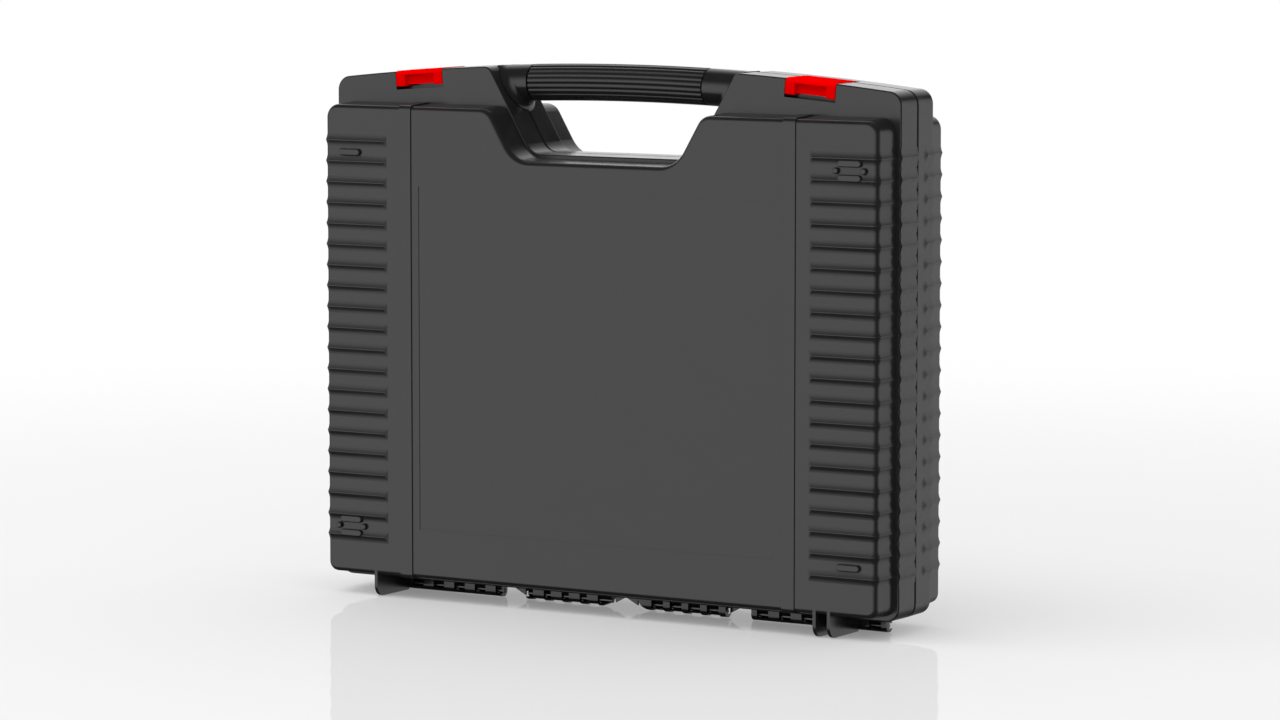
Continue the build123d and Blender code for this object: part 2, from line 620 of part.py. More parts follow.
def wall_point(along, inward, depth):
    """Point by the right notch wall: along it from the handle's centre, and inward from its surface."""
    turn = radians(NOTCH_ANGLE)
    x = RIM_NOTCH_HALF
    for _ in range(3):
        x = RIM_NOTCH_HALF + (arch_height(x, HANDLE_CENTRE) - NOTCH_LEVEL) * NOTCH_SLOPE
    height = arch_height(x, HANDLE_CENTRE)
    return Vector(x + along * sin(turn) + inward * cos(turn), depth, height + along * cos(turn) - inward * sin(turn))


def wall_thickness():
    """Thickness of a notch wall at the parting plane."""
    return WALL + RIM_DEPTH * tan(radians(RIM_DRAFT))


def screw_place(along):
    """Place of a screw on the inside of the right notch wall, its z towards the handle."""
    turn = radians(NOTCH_ANGLE)
    seat = wall_point(along, wall_thickness(), SCREW_SETBACK)
    return Plane(origin=seat, x_dir=(0, 1, 0), z_dir=(-cos(turn), 0, sin(turn))).location


def screw():
    """Screw with a flat round head under its seat and a hexagon recess in the head."""
    shank = wall_thickness() + SCREW_BITE
    solid = Pos(0, 0, shank / 2) * Cylinder(SCREW_RADIUS, shank)
    solid += Pos(0, 0, -SCREW_HEAD_HEIGHT / 2) * Cylinder(SCREW_HEAD_RADIUS, SCREW_HEAD_HEIGHT)
    recess = extrude(RegularPolygon(SCREW_DRIVE_RADIUS, 6), amount=SCREW_DRIVE_DEPTH)
    return solid - Pos(0, 0, -SCREW_HEAD_HEIGHT) * recess


def screw_holes():
    """Room for the four shanks through both notch walls and into the handle ends."""
    length = wall_thickness() + SCREW_BITE + SCREW_FIT
    hole = Pos(0, 0, length / 2) * Cylinder(SCREW_RADIUS + SCREW_FIT, length + SCREW_FIT)
    right = [screw_place(along) * hole for along in SCREW_PLACES]
    return right + [shape.mirror(Plane.YZ) for shape in right]


def bent(section, start, end):
    """Carries a flat section, drawn in y and z about the handle's centre, along the arched handle."""
    axis = Axis((0, 0, HANDLE_CENTRE - ARCH_RADIUS), (0, 1, 0))
    first, last = (degrees(asin(x / ARCH_RADIUS)) for x in (start, end))
    plane = Plane(origin=(0, 0, HANDLE_CENTRE), x_dir=(0, 1, 0), z_dir=(1, 0, 0))
    return revolve((plane * section).rotate(axis, first), axis=axis, revolution_arc=last - first)


def handle_end(seam):
    """Right-hand collar from its seam to the rear notch wall, with the bell that spreads on to the wall."""
    start = abs(seam) + SEAM_WIDTH / 2
    far = wall_point(0, RIM_DEPTH, 0).X
    collar = bent(Circle(HANDLE_RADIUS), start, far)
    reach = 2 * HANDLE_RADIUS
    recess = RIM_DEPTH * tan(radians(RIM_DRAFT))
    low, high = (wall_point(along, recess, 0) for along in (-2 * reach, 2 * reach))
    wall = make_face(Polyline((low.X, low.Z), (high.X, high.Z), (high.X + 2 * reach, high.Z),
                              (high.X + 2 * reach, low.Z), close=True).edges())
    block = Rot(90, 0, 0) * extrude(wall, amount=reach, both=True)
    joined = collar + block
    bell = fillet(new_edges(collar, block, combined=joined), BELL_RADIUS) - block
    limit = CROWN - HANDLE_BELOW_CROWN
    arch = [(x, arch_height(x, limit)) for x in (start - 1, (start + far) / 2, far)]
    under = make_face([ThreePointArc(*arch), *Polyline(arch[2], (far, 0), (start - 1, 0), arch[0]).edges()])
    bell &= Rot(90, 0, 0) * extrude(under, amount=reach, both=True)
    bell -= [upright(rim_body(), turned=True), upright(rim_body(HANDLE_LID_GAP))]
    bell -= bent(Circle(BAR_RADIUS + BAR_FIT), start - 1, start + BAR_INSERT + BAR_END_GAP)
    return bell


def handle_bar():
    """Round bar inside the grip, let into both collars."""
    reach = SEAM_WIDTH / 2 + BAR_INSERT
    return bent(Circle(BAR_RADIUS), GRIP_LEFT_SEAM - reach, GRIP_RIGHT_SEAM + reach)


def handle_grip():
    """Sleeve with round ridges lengthwise."""
    step = 360 / GRIP_RIDGES
    valley = HANDLE_RADIUS - RIDGE_DEPTH
    corners = [Vector(valley, 0).rotate(Axis.Z, step * number) for number in range(GRIP_RIDGES)]
    crests = [Vector(HANDLE_RADIUS, 0).rotate(Axis.Z, step * (number + 0.5)) for number in range(GRIP_RIDGES)]
    ridges = [ThreePointArc(corners[number], crests[number], corners[(number + 1) % GRIP_RIDGES])
              for number in range(GRIP_RIDGES)]
    section = make_face(ridges) - Circle(BAR_RADIUS + BAR_FIT)
    return bent(section, GRIP_LEFT_SEAM + SEAM_WIDTH / 2, GRIP_RIGHT_SEAM - SEAM_WIDTH / 2)


def rear_shell():
    """Rear half shell with the tongue, the seats of the latch pins and the holes for the handle screws."""
    body = half_shell(turned=True) + tongue()
    body -= [latch_pin(side, LATCH_PIN_FIT) for side in GROUPS]
    return body - screw_holes()


def build():
    """All sub-parts of the case by name."""
    parts = {"rear_shell": rear_shell(), "front_shell": half_shell(turned=False)}
    for name, side in (("left", -1), ("right", 1)):
        parts[f"latch_{name}"] = latch_place(side) * latch()
        parts[f"latch_pin_{name}"] = latch_pin(side)
    for name, (start, end) in pin_spans().items():
        parts[f"hinge_pin_{name}"] = Rot(90, 0, 0) * rod(PIN_RADIUS, start, end, HINGE_HEIGHT)
    holes = screw_holes()
    parts["handle_end_left"] = handle_end(GRIP_LEFT_SEAM).mirror(Plane.YZ) - holes
    parts["handle_end_right"] = handle_end(GRIP_RIGHT_SEAM) - holes
    parts["handle_bar"] = handle_bar()
    parts["handle_grip"] = handle_grip()
    right = [screw_place(along) * screw() for along in SCREW_PLACES]
    parts["handle_screws"] = Compound(right + [shape.mirror(Plane.YZ) for shape in right])
    return parts


def main():
    """Writes every sub-part as its own STEP file."""
    os.makedirs("parts", exist_ok=True)
    for name, shape in build().items():
        export_step(shape, f"parts/{name}.step")


main()
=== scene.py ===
"""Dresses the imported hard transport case: moulded half shells, red latches, ribbed handle and steel pins.

Frame: metres, +X to the right along the front, -Y out of the front, +Z up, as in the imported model.
"""
from __future__ import annotations

import logging
from dataclasses import dataclass
from enum import Enum
from math import radians, tau

import bpy
import numpy as np
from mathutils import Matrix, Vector


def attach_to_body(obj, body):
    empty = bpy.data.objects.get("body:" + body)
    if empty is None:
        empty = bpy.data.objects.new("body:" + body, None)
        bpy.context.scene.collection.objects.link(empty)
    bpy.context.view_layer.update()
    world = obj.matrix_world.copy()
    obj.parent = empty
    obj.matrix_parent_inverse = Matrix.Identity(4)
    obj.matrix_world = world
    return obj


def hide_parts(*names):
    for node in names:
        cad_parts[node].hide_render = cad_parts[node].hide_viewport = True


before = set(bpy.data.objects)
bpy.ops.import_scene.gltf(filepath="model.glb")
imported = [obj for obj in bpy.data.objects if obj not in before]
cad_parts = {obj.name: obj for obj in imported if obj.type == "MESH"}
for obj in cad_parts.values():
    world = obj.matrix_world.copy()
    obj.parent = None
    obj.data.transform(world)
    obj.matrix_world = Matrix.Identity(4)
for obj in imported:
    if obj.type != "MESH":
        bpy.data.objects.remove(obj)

log = logging.getLogger("case")
MM = 0.001
WHITE = (1.0, 1.0, 1.0, 1.0)


class Body(Enum):
    """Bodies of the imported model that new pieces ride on."""

    BASE = "base"


class Slot(Enum):
    """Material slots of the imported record, whose names the finishes share."""

    SHELL = "shell_plastic"
    LATCH = "latch_plastic"
    HANDLE = "handle_plastic"
    GRIP = "grip_plastic"
    PIN = "pin_steel"


@dataclass
class Graph:
    """A node tree with short calls that place and join nodes."""

    tree: bpy.types.NodeTree

    def place(self, kind: str, settings: dict | None = None, feeds: dict | None = None) -> bpy.types.Node:
        """Adds a node, sets its properties and fills its inputs.

        Args:
            kind: Blender's name of the node type.
            settings: properties of the node by name.
            feeds: inputs by name or number, each a value or another node's output.

        Returns:
            The new node.
        """
        node = self.tree.nodes.new(kind)
        for name, value in (settings or {}).items():
            setattr(node, name, value)
        self.feed(node, feeds or {})
        return node

    def feed(self, node: bpy.types.Node, feeds: dict) -> None:
        """Fills inputs of a node, by name or number, each with a value or another node's output."""
        for name, value in feeds.items():
            if isinstance(value, bpy.types.NodeSocket):
                self.tree.links.new(value, node.inputs[name])
            else:
                node.inputs[name].default_value = value

    def math(self, operation: str, *values: object) -> bpy.types.NodeSocket:
        """Works out one number from others; values are numbers or outputs."""
        return self.place("ShaderNodeMath", {"operation": operation}, dict(enumerate(values))).outputs[0]

    def ramp(self, value: object, low: float, high: float, start: float = 0.0,
             end: float = 1.0) -> bpy.types.NodeSocket:
        """Carries a value smoothly from start to end while it goes from low to high."""
        feeds = {"Value": value, "From Min": low, "From Max": high, "To Min": start, "To Max": end}
        node = self.place("ShaderNodeMapRange", {"interpolation_type": "SMOOTHSTEP"}, feeds)
        return node.outputs["Result"]

    def noise(self, point: object, scale: object, detail: float,
              roughness: float = 0.5) -> bpy.types.NodeSocket:
        """Looks up fractal noise at a point, with a scale in waves per metre."""
        feeds = {"Vector": point, "Scale": scale, "Detail": detail, "Roughness": roughness}
        return self.place("ShaderNodeTexNoise", {}, feeds).outputs[0]

    def tint(self, factor: object, first: object, second: object) -> bpy.types.NodeSocket:
        """Mixes two colours by a factor; the mixing node has them on sockets 6 and 7, and the result on 2."""
        node = self.place("ShaderNodeMix", {"data_type": "RGBA"}, {"Factor": factor, 6: first, 7: second})
        return node.outputs[2]

    def mix(self, factor: object, first: object, second: object) -> bpy.types.NodeSocket:
        """Mixes two numbers by a factor; the mixing node has them on sockets 2 and 3, and the result on 0."""
        return self.place("ShaderNodeMix", {}, {"Factor": factor, 2: first, 3: second}).outputs[0]


def opaque(colour: tuple[float, float, float], shade: float = 1.0) -> tuple[float, ...]:
    """Gives a colour full cover, after a factor that darkens it."""
    return tuple(channel * shade for channel in colour) + (1.0,)


def open_material(name: str) -> tuple[bpy.types.Material, Graph]:
    """Makes a material with its graph, which holds the standard shader and the output."""
    material = bpy.data.materials.new(name)
    material.use_nodes = True
    return material, Graph(material.node_tree)


def open_effect(name: str, inputs: dict[str, float | None],
                outputs: tuple[str, ...]) -> tuple[Graph, bpy.types.Node, bpy.types.Node]:
    """Makes an empty shader node group that several finishes can share.

    Args:
        name: the group's name.
        inputs: each input's label with its number, or with None where it takes a vector.
        outputs: labels of the outputs, which are all numbers.

    Returns:
        The group's graph, its input node and its output node.
    """
    tree = bpy.data.node_groups.new(name, "ShaderNodeTree")
    for label, value in inputs.items():
        kind = "NodeSocketVector" if value is None else "NodeSocketFloat"
        socket = tree.interface.new_socket(label, in_out="INPUT", socket_type=kind)
        if value is not None:
            socket.default_value = value
    for label in outputs:
        tree.interface.new_socket(label, in_out="OUTPUT", socket_type="NodeSocketFloat")
    graph = Graph(tree)
    return graph, graph.place("NodeGroupInput"), graph.place("NodeGroupOutput")


@dataclass(frozen=True)
class MouldGrain:
    """Eroded mould texture: fine cells and grit as a height, and a slow cloud as tone."""

    fineness: float = 2500.0
    cell_smoothness: float = 0.6
    cell_share: float = 0.6
    grit_detail: float = 2.0
    grit_roughness: float = 0.6
    cloud_scale: float = 28.0
    cloud_detail: float = 3.0
    cloud_range: tuple[float, float] = (0.3, 0.7)

    def make(self) -> bpy.types.NodeTree:
        """Builds the group."""
        inputs = {"Point": None, "Fineness": self.fineness}
        graph, given, made = open_effect("mould_grain", inputs, ("Height", "Tone"))
        point, fineness = given.outputs["Point"], given.outputs["Fineness"]
        cells = graph.place("ShaderNodeTexVoronoi", {"feature": "SMOOTH_F1"},
                            {"Vector": point, "Scale": fineness, "Smoothness": self.cell_smoothness})
        grit = graph.noise(point, fineness, self.grit_detail, self.grit_roughness)
        height = graph.math("MULTIPLY_ADD", cells.outputs["Distance"], self.cell_share, grit)
        cloud = graph.noise(point, self.cloud_scale, self.cloud_detail)
        graph.feed(made, {"Height": height, "Tone": graph.ramp(cloud, *self.cloud_range)})
        return graph.tree


@dataclass(frozen=True)
class RubbedPlaces:
    """Mask of the places that hands, shelves and floors rub: outside the side walls and under the fins.

    Side is the place of a side wall and foot the height up to which the fins are rubbed. Each range says over
    which stretch the mask fades in there.
    """

    side: float = 200.0 * MM
    side_range: tuple[float, float] = (-0.8 * MM, 1.4 * MM)
    foot: float = 1.5 * MM
    foot_range: tuple[float, float] = (-1.0 * MM, 1.0 * MM)
    speckle_scale: float = 260.0
    speckle_detail: float = 4.0
    speckle_range: tuple[float, float] = (0.35, 0.7)

    def make(self) -> bpy.types.NodeTree:
        """Builds the group."""
        inputs = {"Point": None, "Side": self.side, "Foot": self.foot}
        graph, given, made = open_effect("rubbed_places", inputs, ("Mask",))
        point = given.outputs["Point"]
        axes = graph.place("ShaderNodeSeparateXYZ", {}, {0: point})
        past = graph.math("SUBTRACT", graph.math("ABSOLUTE", axes.outputs["X"]), given.outputs["Side"])
        below = graph.math("SUBTRACT", given.outputs["Foot"], axes.outputs["Z"])
        either = graph.math("MAXIMUM", graph.ramp(past, *self.side_range),
                            graph.ramp(below, *self.foot_range))
        noise = graph.noise(point, self.speckle_scale, self.speckle_detail)
        speckle = graph.ramp(noise, *self.speckle_range)
        graph.feed(made, {"Mask": graph.math("MULTIPLY", either, speckle)})
        return graph.tree


@dataclass(frozen=True)
class SettledDust:
    """Mask of thin settled dust on faces that look up."""

    upright_range: tuple[float, float] = (0.7, 1.0)
    fleck_scale: float = 420.0
    fleck_detail: float = 5.0
    fleck_roughness: float = 0.7
    fleck_range: tuple[float, float] = (0.5, 0.75)

    def make(self) -> bpy.types.NodeTree:
        """Builds the group."""
        graph, given, made = open_effect("settled_dust", {"Point": None, "Facing": None}, ("Mask",))
        axes = graph.place("ShaderNodeSeparateXYZ", {}, {0: given.outputs["Facing"]})
        upright = graph.ramp(axes.outputs["Z"], *self.upright_range)
        noise = graph.noise(given.outputs["Point"], self.fleck_scale, self.fleck_detail,
                            self.fleck_roughness)
        flecks = graph.ramp(noise, *self.fleck_range)
        graph.feed(made, {"Mask": graph.math("MULTIPLY", upright, flecks)})
        return graph.tree


class Effects:
    """The shared effects, each built once."""

    def __init__(self) -> None:
        """Builds all groups."""
        self.grain = MouldGrain().make()
        self.rub = RubbedPlaces().make()
        self.dust = SettledDust().make()


@dataclass(frozen=True)
class MouldedPlastic:
    """Injection-moulded plastic with a fine grain, slightly uneven gloss, rubbed places and a trace of dust.

    The gloss pair gives the roughness at both ends of the cloud; depth is the grain's, in metres.
    """

    slot: Slot
    colour: tuple[float, float, float]
    worn_colour: tuple[float, float, float]
    gloss: tuple[float, float]
    fineness: float
    depth: float
    refraction: float = 1.5
    specular: float = 0.5
    shade: float = 0.9
    dust_share: float = 0.12
    rub_share: float = 0.5
    rub_polish: float = 0.06
    bump: float = 0.35

    def make(self, effects: Effects) -> bpy.types.Material:
        """Builds the material.

        Args:
            effects: the shared node groups.

        Returns:
            The finished material.
        """
        material, graph = open_material(self.slot.value)
        place = graph.place("ShaderNodeTexCoord").outputs["Object"]
        facing = graph.place("ShaderNodeNewGeometry").outputs["Normal"]
        grain = graph.place("ShaderNodeGroup", {"node_tree": effects.grain},
                            {"Point": place, "Fineness": self.fineness})
        rub = graph.place("ShaderNodeGroup", {"node_tree": effects.rub}, {"Point": place}).outputs["Mask"]
        dust = graph.place("ShaderNodeGroup", {"node_tree": effects.dust}, {"Point": place, "Facing": facing})
        wear = graph.math("MULTIPLY_ADD", dust.outputs["Mask"], self.dust_share,
                          graph.math("MULTIPLY", rub, self.rub_share))
        tone = grain.outputs["Tone"]
        body = graph.tint(tone, opaque(self.colour, self.shade), opaque(self.colour))
        gloss = graph.math("MULTIPLY_ADD", rub, -self.rub_polish, graph.ramp(tone, 0.0, 1.0, *self.gloss))
        bump = graph.place("ShaderNodeBump", {}, {"Strength": self.bump, "Distance": self.depth,
                                                  "Height": grain.outputs["Height"]})
        graph.feed(graph.tree.nodes["Principled BSDF"], {
            "Base Color": graph.tint(wear, body, opaque(self.worn_colour)),
            "Roughness": gloss,
            "Normal": bump.outputs[0],
            "IOR": self.refraction,
            "Specular IOR Level": self.specular,
        })
        return material


@dataclass(frozen=True)
class DrawnSteel:
    """Drawn steel wire with fine scratches along X.

    The gloss pair gives the roughness at both ends of the cloud; scratch_depth is in metres.
    """

    slot: Slot
    colour: tuple[float, float, float]
    gloss: tuple[float, float]
    stretch: tuple[float, float, float] = (0.02, 1.0, 1.0)
    scratch_scale: float = 9000.0
    scratch_detail: float = 3.0
    scratch_range: tuple[float, float] = (0.3, 0.7)
    scratch_depth: float = 0.02 * MM
    cloud_fineness: float = 1500.0
    shade: float = 0.7
    bump: float = 0.3

    def make(self, effects: Effects) -> bpy.types.Material:
        """Builds the material.

        Args:
            effects: the shared node groups.

        Returns:
            The finished material.
        """
        material, graph = open_material(self.slot.value)
        place = graph.place("ShaderNodeTexCoord").outputs["Object"]
        drawn = graph.place("ShaderNodeMapping", {}, {"Vector": place, "Scale": self.stretch})
        scratches = graph.noise(drawn.outputs[0], self.scratch_scale, self.scratch_detail)
        grain = graph.place("ShaderNodeGroup", {"node_tree": effects.grain},
                            {"Point": place, "Fineness": self.cloud_fineness})
        lines = graph.ramp(scratches, *self.scratch_range)
        bump = graph.place("ShaderNodeBump", {}, {"Strength": self.bump, "Distance": self.scratch_depth,
                                                  "Height": scratches})
        graph.feed(graph.tree.nodes["Principled BSDF"], {
            "Base Color": graph.tint(lines, opaque(self.colour, self.shade), opaque(self.colour)),
            "Roughness": graph.ramp(grain.outputs["Tone"], 0.0, 1.0, *self.gloss),
            "Normal": bump.outputs[0],
            "Metallic": 1.0,
        })
        return material


class Finishes:
    """Every finish of the case, made once."""

    def __init__(self) -> None:
        """Builds the shared effects and the materials."""
        effects = Effects()
        self.shell = MouldedPlastic(
            Slot.SHELL, colour=(0.0165, 0.0165, 0.0168), worn_colour=(0.045, 0.045, 0.046),
            gloss=(0.18, 0.23), fineness=2600.0, depth=0.02 * MM, refraction=1.58).make(effects)
        self.handle = MouldedPlastic(
            Slot.HANDLE, colour=(0.0155, 0.0155, 0.0158), worn_colour=(0.04, 0.04, 0.041),
            gloss=(0.17, 0.21), fineness=2600.0, depth=0.02 * MM, refraction=1.58).make(effects)
        self.grip = MouldedPlastic(
            Slot.GRIP, colour=(0.014, 0.014, 0.0143), worn_colour=(0.04, 0.04, 0.041),
            gloss=(0.18, 0.23), fineness=3600.0, depth=0.02 * MM, refraction=1.58).make(effects)
        self.latch = MouldedPlastic(
            Slot.LATCH, colour=(0.96, 0.0, 0.0), worn_colour=(0.97, 0.03, 0.02),
            gloss=(0.26, 0.32), fineness=1800.0, depth=0.01 * MM, refraction=1.45, specular=0.0).make(effects)
        self.steel = DrawnSteel(Slot.PIN, colour=(0.13, 0.13, 0.133), gloss=(0.28, 0.40)).make(effects)


def add(name: str, data: bpy.types.ID) -> bpy.types.Object:
    """Puts a new object with its data in the scene, at the origin."""
    made = bpy.data.objects.new(name, data)
    bpy.context.scene.collection.objects.link(made)
    return made


@dataclass
class Surface:
    """A surface over a grid of points, closed along either way where told."""

    points: np.ndarray
    closed_rows: bool = True
    closed_columns: bool = True

    def faces(self) -> np.ndarray:
        """Corner numbers of the quads between neighbouring rows and columns.

        Returns:
            One row of four numbers for each quad. Its normal is the columns' way crossed with the rows' way.
        """
        rows, columns = self.points.shape[:2]
        last_row = rows if self.closed_rows else rows - 1
        last_column = columns if self.closed_columns else columns - 1
        row, column = np.meshgrid(np.arange(last_row), np.arange(last_column), indexing="ij")
        below, beside = (row + 1) % rows, (column + 1) % columns
        quads = np.stack([row * columns + column, row * columns + beside, below * columns + beside,
                          below * columns + column], axis=-1)
        return quads.reshape(-1, 4)

    def piece(self, name: str, crease: float = 40.0) -> bpy.types.Object:
        """Puts the surface in a new object of the scene.

        Args:
            name: the piece's name.
            crease: angle in degrees past which an edge stays sharp.

        Returns:
            The object, at the origin.
        """
        mesh = bpy.data.meshes.new(name)
        mesh.from_pydata(self.points.reshape(-1, 3), [], self.faces())
        mesh.polygons.foreach_set("use_smooth", np.ones(len(mesh.polygons), bool))
        mesh.set_sharp_from_angle(angle=radians(crease))
        return add(name, mesh)


def dress(name: str, material: bpy.types.Material) -> None:
    """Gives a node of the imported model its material."""
    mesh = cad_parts[name].data
    mesh.materials.clear()
    mesh.materials.append(material)
    log.info("%s dressed in %s", name, material.name)


def attach(piece: bpy.types.Object, body: Body, slot: Slot, material: bpy.types.Material,
           *stands_for: str) -> None:
    """Finishes a new piece: its material, its body and the nodes that it stands for."""
    piece.data.materials.append(material)
    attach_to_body(piece, body.value)
    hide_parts(*stands_for)
    log.info("%s made with %d faces for %s", piece.name, len(piece.data.polygons), ", ".join(stands_for))


@dataclass
class Shells:
    """Both half shells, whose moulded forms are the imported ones."""

    finishes: Finishes
    nodes: tuple[str, ...] = ("rear_shell", "front_shell")

    def build(self) -> None:
        """Dresses both shells."""
        for name in self.nodes:
            dress(name, self.finishes.shell)


@dataclass
class Pins:
    """Steel pins of the hinge and the latches, the handle's screws and the bar inside its grip."""

    finishes: Finishes
    nodes: tuple[str, ...] = ("hinge_pin_outer_left", "hinge_pin_inner_left", "hinge_pin_inner_right",
                              "hinge_pin_outer_right", "latch_pin_left", "latch_pin_right", "handle_screws",
                              "handle_bar")

    def build(self) -> None:
        """Dresses every pin, the screws and the bar."""
        for name in self.nodes:
            dress(name, self.finishes.steel)


@dataclass
class Latches:
    """The two red latches."""

    finishes: Finishes
    nodes: tuple[str, ...] = ("latch_left", "latch_right")

    def build(self) -> None:
        """Dresses both latches."""
        for name in self.nodes:
            dress(name, self.finishes.latch)


@dataclass
class Handle:
    """Carrying handle: smooth collars, and a ribbed sleeve between two seams.

    The handle's axis is an arc about a point far below the case: centre is its height in the middle, and arch
    its radius. The sleeve goes from left to right along it.
    """

    finishes: Finishes
    collars: tuple[str, ...] = ("handle_end_left", "handle_end_right")
    centre: float = 322.8 * MM
    arch: float = 1758.5 * MM
    radius: float = 11.35 * MM
    bore: float = 8.1 * MM
    ridges: int = 18
    ridge_depth: float = 0.6 * MM
    ridge_power: float = 2.6
    left: float = -65.3 * MM
    right: float = 58.4 * MM
    edge: float = 0.5 * MM
    crease: float = 50.0
    ridge_samples: int = 12
    edge_samples: int = 6
    bore_samples: int = 16
    stations: int = 72

    def ring(self, turn: np.ndarray) -> np.ndarray:
        """Outer radius at angles round the axis.

        Over each ridge v runs from -1 to 1. The radius is the crest's less the ridge depth times |v| to the
        ridge power, which gives a rounded crest between narrow valleys.
        """
        v = 2.0 * ((turn * self.ridges / tau) % 1.0) - 1.0
        return self.radius - self.ridge_depth * np.abs(v) ** self.ridge_power

    def outside(self) -> tuple[np.ndarray, np.ndarray]:
        """Path along the outside from seam to seam, with a quarter-round edge at both ends.

        Returns:
            The places along X, and how far each lies below the ridges, as a number up to 0.
        """
        turn = np.linspace(0.0, tau / 4, self.edge_samples)
        inset, drop = self.edge * (1 - np.sin(turn)), -self.edge * (1 - np.cos(turn))
        middle = np.linspace(self.left + self.edge, self.right - self.edge, self.stations)[1:-1]
        along = np.concatenate([self.left + inset[::-1], middle, self.right - inset])
        return along, np.concatenate([drop[::-1], np.zeros_like(middle), drop])

    def sleeve(self) -> Surface:
        """Works out the ribbed sleeve.

        Rings round the handle's axis follow a closed path: outside from left to right, back along the bore.
        A point at radius r and angle t round the axis, and angle a along the arch, lies at
        x = (arch + r sin t) sin a, y = r cos t and z = base + (arch + r sin t) cos a.

        Returns:
            The closed surface.
        """
        turn = np.linspace(0.0, tau, self.ridges * self.ridge_samples, endpoint=False)
        along, drop = self.outside()
        back = np.linspace(self.right, self.left, self.bore_samples)
        outer = self.ring(turn)[None, :] + drop[:, None]
        r = np.concatenate([outer, np.full((back.size, turn.size), self.bore)])
        a = np.arcsin(np.concatenate([along, back])[:, None] / self.arch)
        out = self.arch + r * np.sin(turn)[None, :]
        base = self.centre - self.arch
        points = [out * np.sin(a), r * np.cos(turn)[None, :], base + out * np.cos(a)]
        return Surface(np.stack(points, -1))

    def build(self) -> None:
        """Dresses the collars and makes the sleeve."""
        for name in self.collars:
            dress(name, self.finishes.handle)
        sleeve = self.sleeve().piece("ribbed_sleeve", self.crease)
        attach(sleeve, Body.BASE, Slot.GRIP, self.finishes.grip, "handle_grip")


@dataclass(frozen=True)
class Panel:
    """A soft bright panel of the sky, seen only in the gloss.

    Its middle is a direction, edge the cosine from the middle at which it ends, and fall how fast it dims.
    A low panel is a band: bottom and top give the heights of a direction over which it comes in and goes out.
    """

    middle: tuple[float, float, float]
    glow: float
    edge: float = 0.0
    fall: float = 2.0
    bottom: tuple[float, float] | None = None
    top: tuple[float, float] | None = None

    def share(self, graph: Graph, way: bpy.types.NodeSocket,
              height: bpy.types.NodeSocket) -> bpy.types.NodeSocket:
        """Works out the panel's shape.

        Args:
            graph: the world's graph.
            way: the direction that is looked in.
            height: that direction's Z.

        Returns:
            1 in the middle and 0 outside.
        """
        near = graph.place("ShaderNodeVectorMath", {"operation": "DOT_PRODUCT"}, {0: way, 1: self.middle})
        inside = graph.place("ShaderNodeMapRange", {},
                             {"Value": near.outputs["Value"], "From Min": self.edge})
        share = graph.math("POWER", inside.outputs["Result"], self.fall)
        if self.bottom and self.top:
            band = graph.math("MULTIPLY", graph.ramp(height, *self.top, 1.0, 0.0),
                              graph.ramp(height, *self.bottom))
            share = graph.math("MULTIPLY", share, band)
        return share


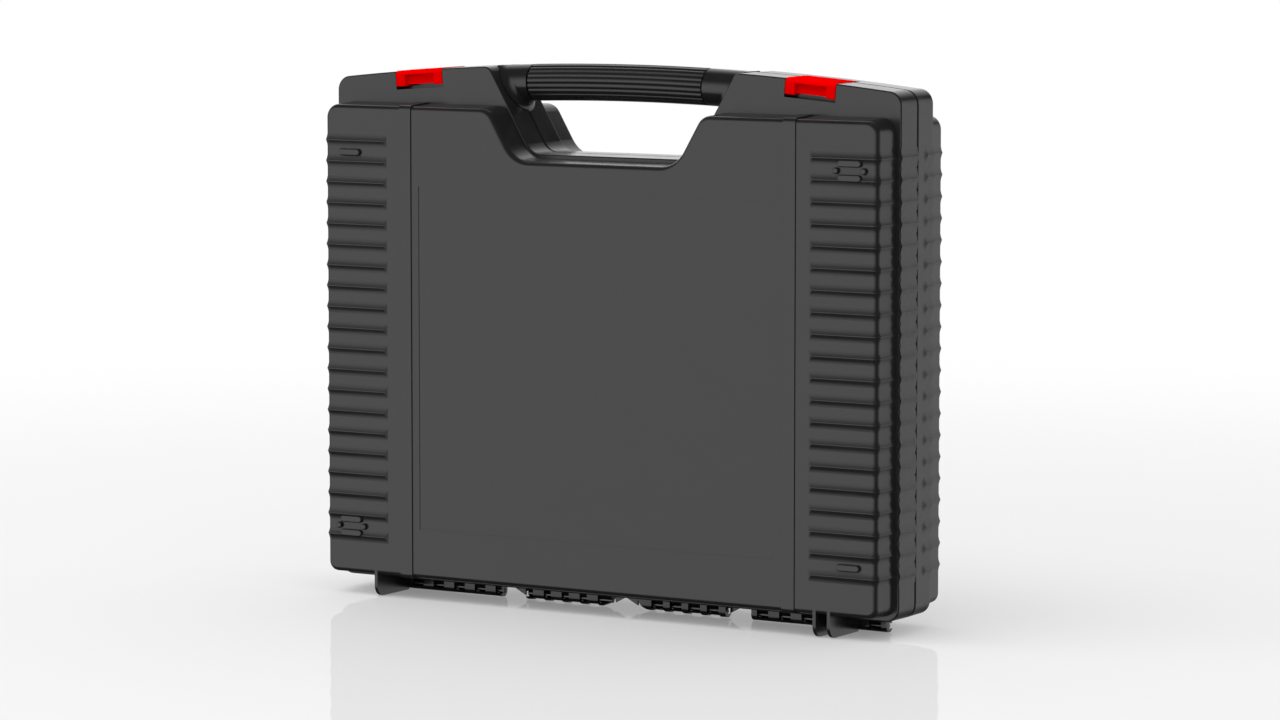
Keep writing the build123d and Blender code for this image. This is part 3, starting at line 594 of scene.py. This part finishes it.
@dataclass
class Studio:
    """White studio: pale glossy floor, even sky, three bright panels for the gloss, and the camera.

    The front panel and the one behind the right side are low bands: they end above the horizon, and near the
    floor, which the case shades. The third one stands higher, behind the left side. Places and lengths are in
    metres, and the camera's turn is in degrees.
    """

    lens: float = 138.52
    sensor: float = 36.0
    clip: tuple[float, float] = (0.05, 200.0)
    camera_place: tuple[float, float, float] = (1.5634, -2.5552, 0.4633)
    camera_turn: tuple[float, float, float] = (84.094, 0.0, 31.312)
    floor_reach: float = 40.0
    floor_lines: int = 3
    floor_colour: float = 0.87
    floor_glow: float = 0.22
    floor_mirror: float = 0.13
    mirror_roughness: float = 0.03
    fade_start: float = 0.42
    fade_end: float = 1.60
    sky: float = 0.80
    dome_glow: float = 0.02
    key_power: float = 24.0
    key_size: tuple[float, float] = (2.4, 1.8)
    key_place: tuple[float, float, float] = (-0.9, -1.2, 2.6)
    key_target: tuple[float, float, float] = (0.0, 0.0, 0.15)
    panels: tuple[Panel, ...] = (
        Panel(middle=(-0.515, -0.857, -0.05), glow=1.18, bottom=(-0.54, -0.34), top=(0.15, 0.66)),
        Panel(middle=(0.515, 0.857, 0.0), glow=0.68, bottom=(-0.58, -0.28), top=(0.14, 0.38)),
        Panel(middle=(-0.520, 0.742, 0.423), glow=1.15, edge=0.70, fall=1.0),
    )

    def camera(self) -> None:
        """Makes the camera at the photograph's viewing angle."""
        data = bpy.data.cameras.new("camera")
        data.lens, data.sensor_width = self.lens, self.sensor
        data.clip_start, data.clip_end = self.clip
        made = add("camera", data)
        made.location = self.camera_place
        made.rotation_euler = [radians(angle) for angle in self.camera_turn]
        bpy.context.scene.camera = made

    def world(self) -> None:
        """Lights the scene evenly; the gloss sees the panels, and the camera sees white."""
        world = bpy.data.worlds.new("studio")
        bpy.context.scene.world = world
        world.use_nodes = True
        graph = Graph(world.node_tree)
        graph.tree.nodes.clear()
        way = graph.place("ShaderNodeTexCoord").outputs["Generated"]
        height = graph.place("ShaderNodeSeparateXYZ", {}, {0: way}).outputs["Z"]
        gloss = self.dome_glow
        for panel in self.panels:
            gloss = graph.math("MULTIPLY_ADD", panel.share(graph, way, height), panel.glow, gloss)
        light = graph.place("ShaderNodeLightPath")
        seen = graph.math("MAXIMUM", light.outputs["Is Glossy Ray"], light.outputs["Is Transmission Ray"])
        level = graph.mix(light.outputs["Is Camera Ray"], graph.mix(seen, self.sky, gloss), 1.0)
        background = graph.place("ShaderNodeBackground", {}, {"Color": WHITE, "Strength": level})
        graph.place("ShaderNodeOutputWorld", {}, {0: background.outputs[0]})

    def lamp(self) -> None:
        """Hangs one broad soft lamp above the front left; the gloss doesn't show it."""
        data = bpy.data.lights.new("key", "AREA")
        data.shape = "RECTANGLE"
        data.size, data.size_y = self.key_size
        data.energy = self.key_power
        made = add("key", data)
        made.location = self.key_place
        aim = Vector(self.key_target) - Vector(self.key_place)
        made.rotation_euler = aim.to_track_quat("-Z", "Y").to_euler()
        made.visible_glossy = False

    def floor_material(self) -> bpy.types.Material:
        """Pale floor with a faint mirror image, which fades to white away from the case."""
        material, graph = open_material("studio_floor")
        graph.tree.nodes.clear()
        matt = graph.place("ShaderNodeBsdfDiffuse", {}, {"Color": opaque(WHITE[:3], self.floor_colour)})
        mirror = graph.place("ShaderNodeBsdfGlossy", {},
                             {"Color": WHITE, "Roughness": self.mirror_roughness})
        lit = graph.place("ShaderNodeMixShader", {},
                          {0: self.floor_mirror, 1: matt.outputs[0], 2: mirror.outputs[0]})
        place = graph.place("ShaderNodeTexCoord").outputs["Object"]
        reach = graph.place("ShaderNodeVectorMath", {"operation": "LENGTH"}, {0: place}).outputs["Value"]
        camera = graph.place("ShaderNodeLightPath").outputs["Is Camera Ray"]
        away = graph.ramp(reach, self.fade_start, self.fade_end, self.floor_glow)
        fade = graph.math("MULTIPLY", away, camera)
        white = graph.place("ShaderNodeEmission", {}, {"Color": WHITE, "Strength": 1.0})
        both = graph.place("ShaderNodeMixShader", {}, {0: fade, 1: lit.outputs[0], 2: white.outputs[0]})
        graph.place("ShaderNodeOutputMaterial", {}, {0: both.outputs[0]})
        return material

    def floor_height(self) -> bpy.types.NodeTree:
        """Makes the floor lie under the lid's lowest point where the open lid reaches below the feet.

        Returns:
            The group of geometry nodes that lowers the floor.
        """
        tree = bpy.data.node_groups.new("floor_height", "GeometryNodeTree")
        for way in ("INPUT", "OUTPUT"):
            tree.interface.new_socket("Geometry", in_out=way, socket_type="NodeSocketGeometry")
        graph = Graph(tree)
        given = graph.place("NodeGroupInput")
        lid = graph.place("GeometryNodeObjectInfo", {"transform_space": "RELATIVE"},
                          {"Object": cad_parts["front_shell"]})
        box = graph.place("GeometryNodeBoundBox", {}, {0: lid.outputs["Geometry"]})
        lowest = graph.place("ShaderNodeSeparateXYZ", {}, {0: box.outputs["Min"]}).outputs["Z"]
        drop = graph.place("ShaderNodeCombineXYZ", {}, {"Z": graph.math("MINIMUM", lowest, 0.0)})
        moved = graph.place("GeometryNodeTransform", {}, {"Geometry": given.outputs[0],
                                                          "Translation": drop.outputs[0]})
        graph.place("NodeGroupOutput", {}, {0: moved.outputs[0]})
        return tree

    def floor(self) -> None:
        """Lays the floor, a flat grid that the gloss of the case doesn't show."""
        side = np.linspace(-self.floor_reach, self.floor_reach, self.floor_lines)
        x, y = np.meshgrid(side, side)
        made = Surface(np.stack([x, y, np.zeros_like(x)], -1), False, False).piece("studio_floor")
        made.data.materials.append(self.floor_material())
        made.visible_glossy = False
        made.modifiers.new("floor_height", "NODES").node_group = self.floor_height()

    def build(self) -> None:
        """Sets up the whole studio."""
        bpy.context.scene.view_settings.view_transform = "Standard"
        self.camera()
        self.world()
        self.lamp()
        self.floor()


def main() -> None:
    """Builds the studio and every sub-assembly."""
    logging.basicConfig(level=logging.INFO, format="%(name)s: %(message)s")
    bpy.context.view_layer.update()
    Studio().build()
    finishes = Finishes()
    for part in (Shells(finishes), Pins(finishes), Latches(finishes), Handle(finishes)):
        part.build()


if __name__ == "__main__":
    main()
